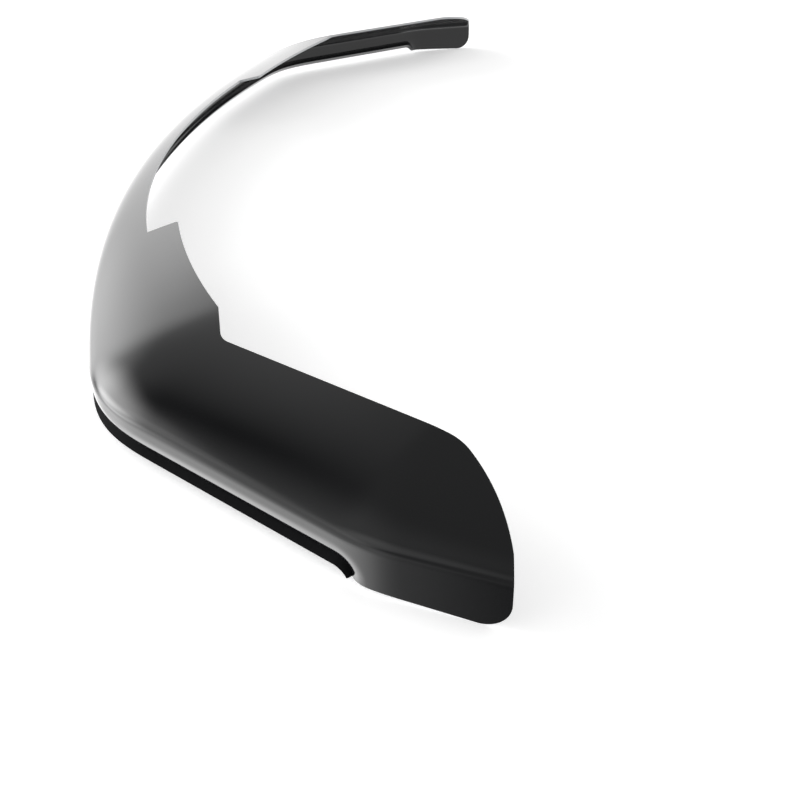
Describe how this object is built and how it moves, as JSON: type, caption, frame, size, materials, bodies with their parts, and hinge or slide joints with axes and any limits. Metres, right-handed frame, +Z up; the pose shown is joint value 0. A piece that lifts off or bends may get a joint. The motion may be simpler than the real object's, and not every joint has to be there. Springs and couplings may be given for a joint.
{
  "type": "hood bug deflector",
  "caption": "Smoked acrylic deflector that wraps a vehicle hood's front edge and its corners, with a sharp turned-out lip, held on by foam tape under its rear edge.",
  "frame": {"origin": "middle of the centre tape's adhesive face, where the shield is seated on the hood", "axes": "+X across the vehicle towards its left side, +Y back over the hood, +Z up"},
  "size_m": [1.5134, 0.3946, 0.0763],
  "materials": {
    "smoked_acrylic": "polished dark smoke acrylic sheet",
    "foam_tape": "matt black closed-cell foam tape"
  },
  "bodies": {
    "root": {"shield": "smoked_acrylic", "centre_tape": "foam_tape", "tab_tape_right": "foam_tape", "tab_tape_left": "foam_tape", "wing_tape_right": "foam_tape", "wing_tape_left": "foam_tape"}
  },
  "joints": []
}
